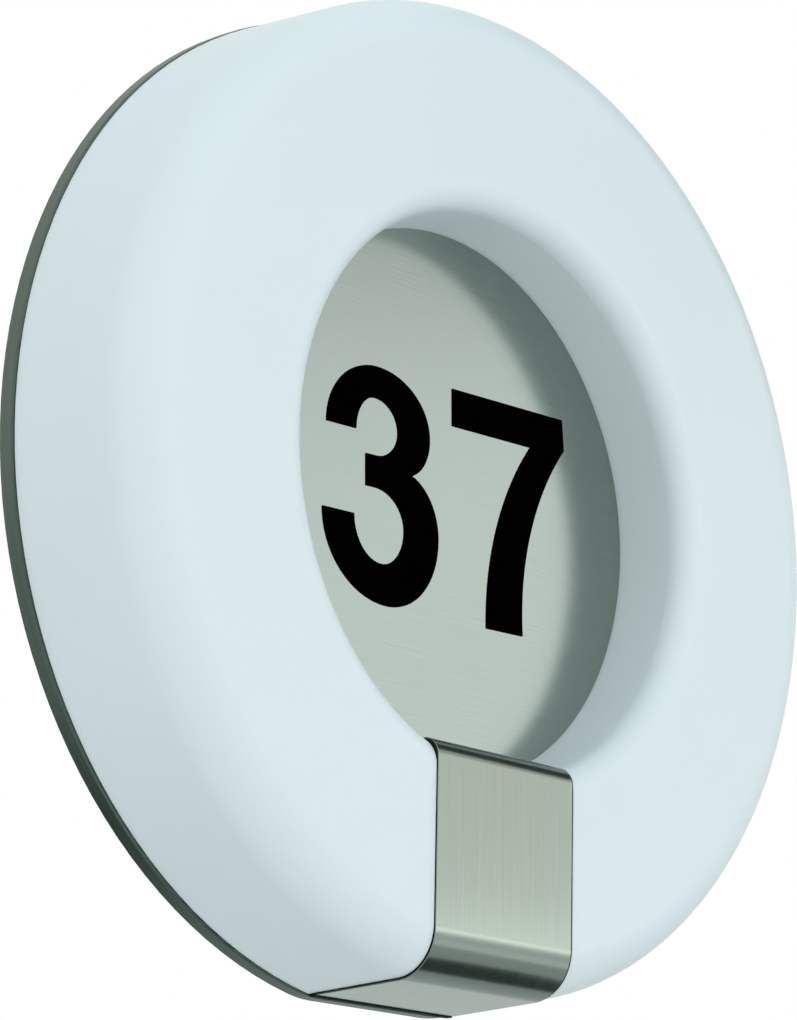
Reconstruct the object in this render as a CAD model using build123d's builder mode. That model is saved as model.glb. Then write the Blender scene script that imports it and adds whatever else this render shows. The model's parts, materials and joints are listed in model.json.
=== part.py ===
"""Round outdoor wall light: a lit white ring, a house number plate and a steel strap.

Seen from the front, right is +X and up is +Z. The wall is the plane y = 0 and the light
faces -Y. The origin is midway between the two wall screws, on the wall. All lengths are
in millimetres. "Out" is the distance from the wall.
"""

import os
from math import atan2, cos, radians, sin, sqrt, tan

from build123d import *

# Allowances that many pieces share
overrun = 2.0
cover_gap = 0.4
soft_gap = 0.3
running_gap = 0.1
hole_gap = 0.1

# Back pan, a pressed disc whose rim is turned back to the wall. Its flat follows the strap.
light_radius = 145.0
pan_depth = 5.0
pan_sheet = 1.0
pan_bend_radius = 0.9
wall_screw_spacing = 120.0
wall_screw_hole_radius = 2.75
wall_screw_cup_radius = 8.0
pan_back = pan_depth - pan_sheet
wall_screw_places = [(-wall_screw_spacing / 2, 0), (wall_screw_spacing / 2, 0)]

# Number plate and the recess it closes
plate_front = 26.0
plate_sheet = 1.0
recess_rear_radius = 79.5
plate_margin = 10.35
plate_back = plate_front - plate_sheet
plate_radius = recess_rear_radius + plate_margin
margin_radius = recess_rear_radius + plate_margin / 2

# White ring, a hollow shell open towards the wall
light_depth = 51.2
diffuser_wall = 2.5
rim_reveal = 0.4
diffuser_taper = 2.55
recess_taper = 1.38
outer_round = 13.3
inner_round = 7.5
seat_width = 4.1
seat_thickness = 2.0
rim_gasket_air = 0.6
rim_gasket_width = 3.2
rim_gasket_thickness = 1.3
diffuser_rear_radius = light_radius - rim_reveal
diffuser_front_radius = diffuser_rear_radius - diffuser_taper
recess_front_radius = recess_rear_radius + recess_taper
lip_out = pan_depth + cover_gap
seat_out = pan_depth + rim_gasket_thickness + soft_gap
seat_outer_radius = diffuser_rear_radius - diffuser_wall
seat_inner_radius = seat_outer_radius - seat_width
rim_gasket_radius = seat_outer_radius - rim_gasket_air

# Strap, one folded strip from the number plate over the front to the rim
strap_width = 56.3
strap_sheet = 1.5
strap_proud = 0.1
strap_step = 4.5
strap_inset = 2.8
strap_rear_gap = 2.5
strap_bottom_slope = 3.15
strap_top_round = 5.5
strap_plate_round = 2.5
strap_bottom_round = 13.7
strap_tab_drop = 9.0
seal_width = 0.6
seal_recess = 0.25
strap_front = light_depth + strap_proud
strap_rear = pan_depth + strap_rear_gap
strap_top = -(recess_rear_radius - strap_step)
strap_bottom = -(light_radius - strap_inset)
pan_flat_drop = 0.35
pan_flat_round = 40.0
pan_flat = strap_bottom - pan_flat_drop
strap_bottom_rise = tan(radians(strap_bottom_slope))
strap_bottom_cosine = cos(radians(strap_bottom_slope))
seal_inset = strap_proud + seal_recess
bay_half = strap_width / 2 + seal_width
end_wall_outer = bay_half + diffuser_wall

# Gear space between the pan and the number plate
gear_air = 2.5
gear_top = plate_back - gear_air

# Reflector tray
reflector_sheet = 0.8
reflector_air = 3.0
reflector_edge_air = 1.5
reflector_bend = 1.5
reflector_front = pan_depth + reflector_sheet
reflector_inner_radius = plate_radius + reflector_air
reflector_outer_radius = seat_inner_radius - reflector_edge_air
end_wall_air = 1.2
end_wall_inner_radius = reflector_inner_radius + reflector_sheet + end_wall_air

# Ring lamp, its cap, pins and spring clips. The place share says where the lamp sits across
# the ring: 0 is against the reflector's wall and 1 against the outer edge of its tray.
tube_radius = 8.0
tube_wall = 1.0
lamp_place_share = 0.18
lamp_out = 28.0
clip_sheet = 0.8
clip_stem_width = 1.6
clip_foot_width = 14.0
clip_mouth_width = 11.0
clip_arc = 6.0
clip_angles = [0, 90, 180]
cap_wall = 1.7
cap_half_width = 18.0
cap_side = 11.0
cap_round = 3.0
cap_core_half_angle = 6.0
pin_radius = 1.2
pin_length = 8.0
pin_pitch = 6.0
pin_count = 4
gripped_radius = tube_radius + clip_sheet
ring_room = reflector_outer_radius - reflector_inner_radius - reflector_sheet
lamp_air = lamp_place_share * (ring_room - 2 * gripped_radius)
lamp_ring_radius = reflector_inner_radius + reflector_sheet + lamp_air + gripped_radius
cap_rear = lamp_out - tube_radius - cap_wall
cap_front = lamp_out + tube_radius + cap_wall
notch_air = 3.0

# Lampholder, whose height is a share of the room across the ring
holder_half_width = 19.0
holder_height_share = 0.6
holder_ear = 7.0
holder_ear_sheet = 3.0
holder_ear_side = 5.0
pin_socket_extra = 1.0
notch_half_width = holder_half_width + reflector_bend
holder_height = holder_height_share * ring_room
holder_top = -(lamp_ring_radius - holder_height / 2)

# Screws, all with slotted pan heads
screw_radius = 1.5
screw_head_radius = 2.8
screw_head_height = 2.0
slot_width = 0.8
slot_depth = 0.9
screw_grip = 3.0
reflector_screw_angles = [45, 135, 225, 315]
reflector_screw_inset = 8.0

# Ballast
ballast_width = 96.0
ballast_height = 38.0
ballast_rise = 20.0
ballast_wall = 1.0
ballast_ear = 9.0
ballast_ear_height = 12.0
board_sheet = 1.6
board_air = 1.5
post_radius = 2.2
post_height = 3.0
post_inset = 5.0
part_air = 1.0
choke_width = 22.0
choke_height = 20.0
choke_core_width = 14.0
choke_shift_share = -0.25
capacitor_radius = 4.5
capacitor_pitch = 12.0
capacitor_shift_share = 0.2
ballast_z = ballast_rise + ballast_height / 2
ballast_side = ballast_width / 2
board_back = pan_depth + ballast_wall + post_height
board_front = board_back + board_sheet
part_height = gear_top - ballast_wall - part_air - board_front

# Mains terminals
way_pitch = 12.0
way_count = 3
block_height = 18.0
block_base = 4.0
tower_width = 8.0
block_screw_head_radius = 1.9
tower_depth = 13.0
wire_bore_radius = 1.9
wire_bore_rise = 6.5
terminal_screw_radius = 1.8
terminal_screw_spread = 9.0
block_x = -24.0
block_z = -21.0
block_width = way_pitch * way_count
block_top = block_z + block_height / 2
wire_bore_out = pan_depth + wire_bore_rise
way_places = [block_x + way_pitch * (way - (way_count - 1) / 2) for way in range(way_count)]

# Wires
mains_wire_radius = 1.2
mains_wire_entry = 6.0
mains_wire_jog = 6.0
mains_bend_radius = 5.0
lead_radius = 0.9
lead_pitch = 2.1
lead_count = 4
lead_drop = 12.0
lead_turn_z = -10.0
lead_end_x = -10.0
lead_last_run = 14.0
lead_bend_radius = 12.0
lead_clip_edge = 1.2
lead_clip_length = 6.0
lead_clip_height = 3.4
lead_x = -(wall_screw_spacing / 2 + wall_screw_cup_radius + reflector_inner_radius) / 2

# Earth connection
earth_rise = 21.0
earth_screw_radius = 2.0
earth_head_radius = 3.6
earth_tag_radius = 4.5
earth_tag_sheet = 0.8
barrel_radius = 2.0
barrel_length = 6.0
earth_bend_radius = 2.0

# Mains cable inlet and clamp
cable_x = 40.0
cable_z = -40.0
cable_radius = 4.5
grommet_neck_radius = 7.0
grommet_flange_radius = 9.0
grommet_rear_flange = 1.8
grommet_front_flange = 3.0
grommet_lip_radius = 7.5
clamp_x = 14.0
clamp_length = 25.0
clamp_width = 7.0
clamp_wall = 2.0
clamp_screw_inset = 3.0

# Studs that hold the front, and their sockets
stud_radius = 2.5
stud_flange_radius = 4.2
stud_flange = 1.0
stud_tip = 1.0
stud_angles = [90, 210, 330]
socket_radius = 4.8
socket_foot_radius = 5.6
socket_foot = 1.5
socket_air = 2.5
socket_slit = 1.0

# Screws that hold the ring on the number plate
boss_radius = 3.0
boss_height = 5.0
boss_angles = [0, 45, 135, 180, 230, 310]

# Strap fixings: weld studs and nuts
tab_stud_spacing = 30.0
tab_stud_rise = 3.6
ledge_width = 10.0
ledge_rear = 12.0
ledge_front = 30.0
ledge_thickness = 2.5
nut_across = 5.5
nut_height = 2.4
stud_past_nut = 1.0

# House number: plain flat digits, outlined by shares of their height from the bottom left
digit_height = 68.0
digit_thickness = 0.3
digit_gap = 5.0
number_shift = 1.45
number_turn = 1.8
quarter_turn_share = 0.5523
three_width_share = 0.7074
seven_width_share = 0.7294
upper_bowl_shares = [
    ("upright", 0.0235, 0.7180),
    ("level", 0.3215, 1.0050),
    ("upright", 0.6490, 0.7500),
    ("line", 0.4912, 0.5676),
    ("line", 0.2575, 0.5676),
    ("line", 0.2575, 0.6240),
    ("level", 0.3147, 0.6240),
    ("upright", 0.4529, 0.7426),
    ("level", 0.3147, 0.8685),
    ("line", 0.1985, 0.7180),
]
lower_bowl_shares = [
    ("line", 0.2575, 0.5882),
    ("level", 0.4691, 0.5882),
    ("upright", 0.7000, 0.3309),
    ("level", 0.3900, 0),
    ("line", 0, 0.3580),
    ("upright", 0.1860, 0.3580),
    ("level", 0.3480, 0.1721),
    ("upright", 0.4900, 0.3309),
    ("line", 0.3147, 0.4880),
    ("line", 0.2575, 0.4880),
]
seven_shares = [
    (0.0120, 1.0030),
    (0.7294, 1.0030),
    (0.7400, 0.8650),
    (0.5430, 0.5426),
    (0.4530, 0),
    (0.2210, 0),
    (0.3130, 0.4971),
    (0.5170, 0.8400),
    (0.0120, 0.8400),
]

# Foam behind the pan
wall_gasket_width = 8.0
wall_gasket_inset = 2.0


def facing(out: float) -> Plane:
    """A plane parallel to the wall, `out` from it, seen from the front."""
    return Plane(origin=(0, -out, 0), x_dir=(1, 0, 0), z_dir=(0, -1, 0))


def pan_outline(inset: float) -> Sketch:
    """The pan's outline, moved inwards by `inset`: a circle with a flat under the strap."""
    with BuildSketch(facing(0), mode=Mode.PRIVATE) as outline:
        Circle(light_radius - inset)
        with Locations((0, pan_flat + inset)):
            Rectangle(
                2 * light_radius,
                2 * light_radius,
                align=(Align.CENTER, Align.MIN),
                mode=Mode.INTERSECT,
            )
        fillet(outline.vertices(), radius=pan_flat_round)
    return outline.sketch


def side_on(x: float) -> Plane:
    """An upright plane square to the wall at `x`, with out to the right and up upwards."""
    return Plane(origin=(x, 0, 0), x_dir=(0, -1, 0), z_dir=(-1, 0, 0))


def round_section(x: float = 0, z: float = 0) -> Plane:
    """The plane of a turned section, radius to the right and out upwards, at a place."""
    return Plane(origin=(x, 0, z), x_dir=(1, 0, 0), z_dir=(0, 0, -1))


def around(radius: float, angles: list) -> list:
    """Places on a circle round the middle, by angle from the right, anticlockwise."""
    return [(radius * cos(radians(angle)), radius * sin(radians(angle))) for angle in angles]


def screws(
    places: list, seat: float, grip: float, radius: float, head_radius: float, turn: int = 1
) -> BuildPart:
    """Slotted pan-head screws, heads against `seat`, in front of it or, for turn -1, behind."""
    with BuildPart() as made:
        with BuildSketch(facing(seat)):
            with Locations(*places):
                Circle(head_radius)
        extrude(amount=turn * screw_head_height)
        ends = made.faces().sort_by(Axis.Y, reverse=turn < 0)[: len(places)]
        fillet(ends.edges(), radius=screw_head_height / 3)
        with BuildSketch(facing(seat)):
            with Locations(*places):
                Circle(radius)
        extrude(amount=-turn * grip)
        with BuildSketch(facing(seat + turn * screw_head_height)):
            with Locations(*places):
                Rectangle(2 * head_radius, slot_width)
        extrude(amount=-turn * slot_depth, mode=Mode.SUBTRACT)
    return made


def wire(plane: Plane, points: list, bend_radii: list, radius: float) -> BuildPart:
    """A round wire along straight runs and arcs drawn on a plane."""
    with BuildPart() as made:
        with BuildLine(plane) as route:
            FilletPolyline(*points, radius=bend_radii)
        with BuildSketch(Plane(origin=route.line @ 0, z_dir=route.line % 0)):
            Circle(radius)
        sweep(path=route.line)
    return made


def strap_inside(out: float, inset: float) -> float:
    """Height above the strap's bottom face by `inset`, square to it, at a distance from the wall."""
    return strap_bottom + (out - strap_rear) * strap_bottom_rise + inset / strap_bottom_cosine


def strap_corners(inset: float) -> list:
    """Corners of the strap's outer line, moved inwards by `inset`, from the plate to the rim."""
    return [
        (plate_front, strap_top - inset),
        (strap_front - inset, strap_top - inset),
        (strap_front - inset, strap_inside(strap_front - inset, inset)),
        (strap_rear, strap_inside(strap_rear, inset)),
    ]


def glyph_place(left: float, x_share: float, z_share: float) -> tuple:
    """A point of a digit, from shares of the digit height, its left side at `left`."""
    return (left + x_share * digit_height, (z_share - 1 / 2) * digit_height)


def glyph_edge(left: float, leaving: tuple, arriving: tuple) -> None:
    """One edge of a digit: a straight line or a quarter turn that leaves upright or level."""
    kind, x_share, z_share = leaving
    start = Vector(*glyph_place(left, x_share, z_share))
    end = Vector(*glyph_place(left, arriving[1], arriving[2]))
    if kind == "line":
        Line(start, end)
    else:
        corner = Vector(start.X, end.Y) if kind == "upright" else Vector(end.X, start.Y)
        Bezier(
            start,
            start + (corner - start) * quarter_turn_share,
            end + (corner - end) * quarter_turn_share,
            end,
        )


os.makedirs("parts", exist_ok=True)

# The pan: rim, front wall, cups for the wall screws and holes for everything fixed to it
holder_screw_places = [
    (side * (holder_half_width + holder_ear / 2), -lamp_ring_radius) for side in (-1, 1)
]
ballast_screw_places = [(side * (ballast_side + ballast_ear / 2), ballast_z) for side in (-1, 1)]
clamp_screw_places = [
    (clamp_x, cable_z + side * (clamp_length / 2 - clamp_screw_inset)) for side in (-1, 1)
]
block_screw_places = [(block_x + side * way_pitch / 2, block_z) for side in (-1, 1)]
reflector_screw_places = around(
    reflector_outer_radius - reflector_screw_inset, reflector_screw_angles
)
earth_place = (way_places[-1], block_top + earth_rise)
pan_screw_places = (
    holder_screw_places
    + ballast_screw_places
    + clamp_screw_places
    + block_screw_places
    + reflector_screw_places
)

with BuildPart() as base_pan:
    extrude(pan_outline(0), amount=pan_depth)
    fillet(base_pan.faces().sort_by(Axis.Y)[0].edges(), radius=pan_bend_radius)
    extrude(pan_outline(pan_sheet), amount=pan_back, mode=Mode.SUBTRACT)
    with BuildSketch(facing(0)):
        with Locations(*wall_screw_places):
            Circle(wall_screw_cup_radius)
    extrude(amount=pan_back)
    with BuildSketch(facing(pan_sheet)):
        with Locations(*wall_screw_places):
            Circle(wall_screw_cup_radius - pan_sheet)
    extrude(amount=pan_depth, mode=Mode.SUBTRACT)
    with BuildSketch(facing(0)):
        with Locations(*wall_screw_places):
            Circle(wall_screw_hole_radius)
    extrude(amount=pan_sheet, mode=Mode.SUBTRACT)
    with BuildSketch(facing(pan_back)):
        with Locations(*pan_screw_places):
            Circle(screw_radius)
        with Locations(earth_place):
            Circle(earth_screw_radius)
        with Locations((cable_x, cable_z)):
            Circle(grommet_neck_radius)
    extrude(amount=pan_sheet, mode=Mode.SUBTRACT)
base_pan.part.label = "base_pan"
export_step(base_pan.part, "parts/base_pan.step")

# Foam ring that fills the pan's hollow back near the rim
gasket_inset = pan_sheet + wall_gasket_inset
with BuildPart() as wall_gasket:
    extrude(pan_outline(gasket_inset), amount=pan_back)
    extrude(pan_outline(gasket_inset + wall_gasket_width), amount=pan_back, mode=Mode.SUBTRACT)
wall_gasket.part.label = "wall_gasket"
export_step(wall_gasket.part, "parts/wall_gasket.step")

# Rubber ring on the pan's front that the white ring presses on
with BuildPart() as rim_gasket:
    with BuildSketch(facing(pan_depth)):
        Circle(rim_gasket_radius)
        Circle(rim_gasket_radius - rim_gasket_width, mode=Mode.SUBTRACT)
    extrude(amount=rim_gasket_thickness)
rim_gasket.part.label = "rim_gasket"
export_step(rim_gasket.part, "parts/rim_gasket.step")

# Reflector: a tray floor under the lamp and a wall between the lamp and the gear
with BuildPart() as reflector:
    with BuildSketch(round_section()):
        with BuildLine():
            FilletPolyline(
                (reflector_inner_radius, plate_front),
                (reflector_inner_radius, pan_depth),
                (reflector_outer_radius, pan_depth),
                radius=[reflector_bend],
            )
            offset(amount=reflector_sheet, side=Side.LEFT)
        make_face()
    revolve(axis=Axis.Y)
    with BuildSketch(facing(pan_depth)):
        with Locations((0, -(reflector_inner_radius + reflector_bend))):
            Rectangle(2 * notch_half_width, plate_radius / 2, align=(Align.CENTER, Align.MIN))
    extrude(amount=light_depth, mode=Mode.SUBTRACT)
    with BuildSketch(facing(pan_depth)):
        with Locations(*(holder_screw_places + reflector_screw_places)):
            Circle(screw_radius)
    extrude(amount=reflector_sheet, mode=Mode.SUBTRACT)
reflector.part.label = "reflector"
export_step(reflector.part, "parts/reflector.step")

reflector_screws = screws(
    reflector_screw_places, reflector_front, screw_grip, screw_radius, screw_head_radius
)
reflector_screws.part.label = "reflector_screws"
export_step(reflector_screws.part, "parts/reflector_screws.step")

# Ring lamp: a glass tube bent round, its ends inside the cap
with BuildPart() as lamp_tube:
    with BuildSketch(round_section()):
        with Locations((lamp_ring_radius, lamp_out)):
            Circle(tube_radius)
    revolve(axis=Axis.Y, revolution_arc=360 - 2 * cap_core_half_angle)
with BuildPart() as lamp_bore:
    with BuildSketch(round_section()):
        with Locations((lamp_ring_radius, lamp_out)):
            Circle(tube_radius - tube_wall)
    revolve(axis=Axis.Y, revolution_arc=360 - 2 * cap_core_half_angle)
tube_outside = lamp_tube.part.rotate(Axis.Y, 90 + cap_core_half_angle)
with BuildPart() as ring_lamp:
    add(tube_outside)
    add(lamp_bore.part.rotate(Axis.Y, 90 + cap_core_half_angle), mode=Mode.SUBTRACT)
ring_lamp.part.label = "ring_lamp"
export_step(ring_lamp.part, "parts/ring_lamp.step")

with BuildPart() as lamp_cap:
    with BuildSketch(facing(cap_rear)):
        with Locations((0, -lamp_ring_radius)):
            RectangleRounded(2 * cap_half_width, 2 * cap_side, cap_round)
    extrude(amount=cap_front - cap_rear)
    fillet(lamp_cap.faces().sort_by(Axis.Y)[0].edges(), radius=cap_wall)
    add(tube_outside, mode=Mode.SUBTRACT)
lamp_cap.part.label = "lamp_cap"
export_step(lamp_cap.part, "parts/lamp_cap.step")

pin_places = [(pin_pitch * (pin - (pin_count - 1) / 2), -lamp_ring_radius) for pin in range(pin_count)]
with BuildPart() as lamp_pins:
    with BuildSketch(facing(cap_rear)):
        with Locations(*pin_places):
            Circle(pin_radius)
    extrude(amount=-pin_length)
lamp_pins.part.label = "lamp_pins"
export_step(lamp_pins.part, "parts/lamp_pins.step")

# Lampholder: a block with four sockets and two ears
with BuildPart() as lampholder:
    with BuildSketch(facing(reflector_front)):
        with Locations((0, -lamp_ring_radius)):
            Rectangle(2 * holder_half_width, holder_height)
    extrude(amount=cap_rear - reflector_front)
    with BuildSketch(facing(reflector_front)):
        with Locations((0, -lamp_ring_radius)):
            Rectangle(2 * (holder_half_width + holder_ear), 2 * holder_ear_side)
    extrude(amount=holder_ear_sheet)
    with BuildSketch(facing(cap_rear)):
        with Locations(*pin_places):
            Circle(pin_radius + hole_gap)
    extrude(amount=-(pin_length + pin_socket_extra), mode=Mode.SUBTRACT)
    with BuildSketch(facing(reflector_front)):
        with Locations(*holder_screw_places):
            Circle(screw_radius)
    extrude(amount=holder_ear_sheet, mode=Mode.SUBTRACT)
lampholder.part.label = "lampholder"
export_step(lampholder.part, "parts/lampholder.step")

lampholder_screws = screws(
    holder_screw_places,
    reflector_front + holder_ear_sheet,
    screw_grip + holder_ear_sheet,
    screw_radius,
    screw_head_radius,
)
lampholder_screws.part.label = "lampholder_screws"
export_step(lampholder_screws.part, "parts/lampholder_screws.step")

# Spring clips: a foot, a stem and a C that grips the tube, bent to the lamp's circle
with BuildPart() as lamp_clip:
    with BuildSketch(round_section()):
        with Locations((lamp_ring_radius, reflector_front)):
            Rectangle(clip_foot_width, clip_sheet, align=(Align.CENTER, Align.MIN))
            Rectangle(
                clip_stem_width, lamp_out - reflector_front, align=(Align.CENTER, Align.MIN)
            )
        with Locations((lamp_ring_radius, lamp_out)):
            Circle(gripped_radius)
            Circle(tube_radius, mode=Mode.SUBTRACT)
            Rectangle(
                clip_mouth_width,
                tube_radius + overrun,
                align=(Align.CENTER, Align.MIN),
                mode=Mode.SUBTRACT,
            )
    revolve(axis=Axis.Y, revolution_arc=clip_arc)
with BuildPart() as lamp_clips:
    for angle in clip_angles:
        add(lamp_clip.part.rotate(Axis.Y, -angle - clip_arc / 2))
lamp_clips.part.label = "lamp_clips"
export_step(lamp_clips.part, "parts/lamp_clips.step")

# Ballast: a tray with ears, its lid, the circuit board on posts and the largest parts on it
case_depth = gear_top - ballast_wall - pan_depth
inside_width = ballast_width - 2 * ballast_wall
inside_height = ballast_height - 2 * ballast_wall
with BuildPart() as ballast_case:
    with BuildSketch(facing(pan_depth)):
        with Locations((0, ballast_z)):
            Rectangle(ballast_width, ballast_height)
    extrude(amount=case_depth)
    with BuildSketch(facing(pan_depth + ballast_wall)):
        with Locations((0, ballast_z)):
            Rectangle(inside_width, inside_height)
    extrude(amount=case_depth, mode=Mode.SUBTRACT)
    with BuildSketch(facing(pan_depth)):
        with Locations((0, ballast_z)):
            Rectangle(ballast_width + 2 * ballast_ear, ballast_ear_height)
        with Locations(*ballast_screw_places):
            Circle(screw_radius, mode=Mode.SUBTRACT)
    extrude(amount=ballast_wall)
    with BuildSketch(facing(pan_depth + ballast_wall)):
        with Locations((0, ballast_z)):
            with GridLocations(inside_width - 2 * post_inset, inside_height - 2 * post_inset, 2, 2):
                Circle(post_radius)
    extrude(amount=post_height)
ballast_case.part.label = "ballast_case"
export_step(ballast_case.part, "parts/ballast_case.step")

with BuildPart() as ballast_lid:
    with BuildSketch(facing(pan_depth + case_depth)):
        with Locations((0, ballast_z)):
            Rectangle(ballast_width, ballast_height)
    extrude(amount=ballast_wall)
    fillet(ballast_lid.faces().sort_by(Axis.Y)[0].edges(), radius=ballast_wall / 2)
ballast_lid.part.label = "ballast_lid"
export_step(ballast_lid.part, "parts/ballast_lid.step")

with BuildPart() as ballast_board:
    with BuildSketch(facing(board_back)):
        with Locations((0, ballast_z)):
            Rectangle(inside_width - 2 * board_air, inside_height - 2 * board_air)
    extrude(amount=board_sheet)
ballast_board.part.label = "ballast_board"
export_step(ballast_board.part, "parts/ballast_board.step")

with BuildPart() as ballast_choke:
    with BuildSketch(facing(board_front)):
        with Locations((choke_shift_share * ballast_width, ballast_z)):
            Rectangle(choke_core_width, choke_height)
    extrude(amount=part_height)
    with BuildSketch(facing(board_front)):
        with Locations((choke_shift_share * ballast_width, ballast_z)):
            RectangleRounded(choke_width, choke_height - 2 * cap_round, cap_round)
    extrude(amount=part_height - part_air)
ballast_choke.part.label = "ballast_choke"
export_step(ballast_choke.part, "parts/ballast_choke.step")

with BuildPart() as ballast_capacitors:
    with BuildSketch(facing(board_front)):
        with Locations((capacitor_shift_share * ballast_width, ballast_z)):
            with GridLocations(capacitor_pitch, 0, 2, 1):
                Circle(capacitor_radius)
    extrude(amount=part_height)
ballast_capacitors.part.label = "ballast_capacitors"
export_step(ballast_capacitors.part, "parts/ballast_capacitors.step")

ballast_screws = screws(
    ballast_screw_places,
    pan_depth + ballast_wall,
    screw_grip + ballast_wall,
    screw_radius,
    screw_head_radius,
)
ballast_screws.part.label = "ballast_screws"
export_step(ballast_screws.part, "parts/ballast_screws.step")

# Terminal block: a base and one tower for each way, bored along Z for the wires
terminal_screw_places = [
    (x, block_z + side * terminal_screw_spread / 2) for x in way_places for side in (-1, 1)
]
with BuildPart() as terminal_block:
    with BuildSketch(facing(pan_depth)):
        with Locations((block_x, block_z)):
            Rectangle(block_width, block_height)
        with Locations(*block_screw_places):
            Circle(screw_radius, mode=Mode.SUBTRACT)
    extrude(amount=block_base)
    with BuildSketch(facing(pan_depth + block_base)):
        with Locations(*[(x, block_z) for x in way_places]):
            Rectangle(tower_width, block_height)
    extrude(amount=tower_depth - block_base)
    with BuildSketch(facing(pan_depth + tower_depth)):
        with Locations(*terminal_screw_places):
            Circle(terminal_screw_radius)
    extrude(amount=-(pan_depth + tower_depth - wire_bore_out), mode=Mode.SUBTRACT)
    with BuildSketch(Plane.XY.offset(block_z - block_height / 2)):
        with Locations(*[(x, -wire_bore_out) for x in way_places]):
            Circle(wire_bore_radius)
    extrude(amount=block_height, mode=Mode.SUBTRACT)
terminal_block.part.label = "terminal_block"
export_step(terminal_block.part, "parts/terminal_block.step")

screw_tip_out = wire_bore_out + mains_wire_radius
with BuildPart() as terminal_screws:
    with BuildSketch(facing(screw_tip_out)):
        with Locations(*terminal_screw_places):
            Circle(terminal_screw_radius)
    extrude(amount=pan_depth + tower_depth - screw_tip_out - slot_depth)
    with BuildSketch(facing(pan_depth + tower_depth - slot_depth)):
        with Locations(*terminal_screw_places):
            Rectangle(2 * terminal_screw_radius, slot_width)
    extrude(amount=-slot_depth, mode=Mode.SUBTRACT)
terminal_screws.part.label = "terminal_screws"
export_step(terminal_screws.part, "parts/terminal_screws.step")

terminal_block_screws = screws(
    block_screw_places,
    pan_depth + block_base,
    screw_grip + block_base,
    screw_radius,
    block_screw_head_radius,
)
terminal_block_screws.part.label = "terminal_block_screws"
export_step(terminal_block_screws.part, "parts/terminal_block_screws.step")

# Mains wires from the terminals to the ballast
mains_wires = [
    wire(
        facing(wire_bore_out),
        [
            (x, block_top - mains_wire_entry),
            (x, block_top + mains_wire_jog),
            (x + mains_wire_jog, ballast_rise - 2 * mains_wire_jog),
            (x + mains_wire_jog, ballast_rise),
        ],
        [mains_bend_radius, mains_bend_radius],
        mains_wire_radius,
    )
    for x in way_places[:-1]
]
live_wire = mains_wires[0]
live_wire.part.label = "live_wire"
export_step(live_wire.part, "parts/live_wire.step")
neutral_wire = mains_wires[1]
neutral_wire.part.label = "neutral_wire"
export_step(neutral_wire.part, "parts/neutral_wire.step")

# Earth connection: a ring tag under a screw, its barrel pointing down at the terminals
barrel_out = pan_depth + barrel_radius
barrel_top = earth_place[1] - earth_screw_radius - barrel_radius
barrel_bottom = barrel_top - barrel_length
with BuildPart() as earth_tag:
    with BuildSketch(facing(pan_depth)):
        with Locations(earth_place):
            Circle(earth_tag_radius)
        with Locations((earth_place[0], barrel_bottom)):
            Rectangle(
                2 * barrel_radius, barrel_top - barrel_bottom, align=(Align.CENTER, Align.MIN)
            )
        with Locations(earth_place):
            Circle(earth_screw_radius, mode=Mode.SUBTRACT)
    extrude(amount=earth_tag_sheet)
    with BuildSketch(Plane.XY.offset(barrel_bottom)):
        with Locations((earth_place[0], -barrel_out)):
            Circle(barrel_radius)
    extrude(amount=barrel_length - earth_tag_radius / 2)
    with BuildSketch(Plane.XY.offset(barrel_bottom)):
        with Locations((earth_place[0], -barrel_out)):
            Circle(mains_wire_radius)
    extrude(amount=barrel_length / 2, mode=Mode.SUBTRACT)
earth_tag.part.label = "earth_tag"
export_step(earth_tag.part, "parts/earth_tag.step")

earth_screw = screws(
    [earth_place],
    pan_depth + earth_tag_sheet,
    screw_grip + earth_tag_sheet,
    earth_screw_radius,
    earth_head_radius,
)
earth_screw.part.label = "earth_screw"
export_step(earth_screw.part, "parts/earth_screw.step")

earth_wire = wire(
    side_on(earth_place[0]),
    [
        (wire_bore_out, block_top - mains_wire_entry),
        (wire_bore_out, block_top + mains_wire_radius),
        (barrel_out, barrel_bottom - mains_wire_radius),
        (barrel_out, barrel_bottom + barrel_length / 2),
    ],
    [earth_bend_radius, earth_bend_radius],
    mains_wire_radius,
)
earth_wire.part.label = "earth_wire"
export_step(earth_wire.part, "parts/earth_wire.step")

# Four lamp leads side by side on the pan, from the ballast's side to the lampholder
lead_start_z = ballast_z - lead_drop
lead_last_z = holder_top + lead_last_run
lead_turn = atan2(lead_end_x - lead_x, lead_turn_z - lead_last_z)
with BuildPart() as lamp_leads:
    for lead in range(lead_count):
        shift = lead_pitch * (lead - (lead_count - 1) / 2)
        corner_shift = shift * tan(lead_turn / 2)
        lead_wire = wire(
            facing(pan_depth + lead_radius),
            [
                (-ballast_side, lead_start_z + shift),
                (lead_x - shift, lead_start_z + shift),
                (lead_x - shift, lead_turn_z - corner_shift),
                (lead_end_x - shift, lead_last_z - corner_shift),
                (lead_end_x - shift, holder_top),
            ],
            [lead_bend_radius + shift, lead_bend_radius + shift, lead_bend_radius - shift],
            lead_radius,
        )
        add(lead_wire.part)
lamp_leads.part.label = "lamp_leads"
export_step(lamp_leads.part, "parts/lamp_leads.step")

# Saddle clip over the leads, stuck to the pan
lead_clip_place = (lead_x, (lead_start_z - lead_bend_radius + lead_turn_z) / 2)
with BuildPart() as lead_clip:
    with BuildSketch(facing(pan_depth)):
        with Locations(lead_clip_place):
            Rectangle(lead_count * lead_pitch + 2 * lead_clip_edge, lead_clip_length)
    extrude(amount=lead_clip_height)
    with BuildSketch(facing(pan_depth)):
        with Locations(lead_clip_place):
            Rectangle(lead_count * lead_pitch, lead_clip_length)
    extrude(amount=2 * lead_radius, mode=Mode.SUBTRACT)
lead_clip.part.label = "lead_clip"
export_step(lead_clip.part, "parts/lead_clip.step")

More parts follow.
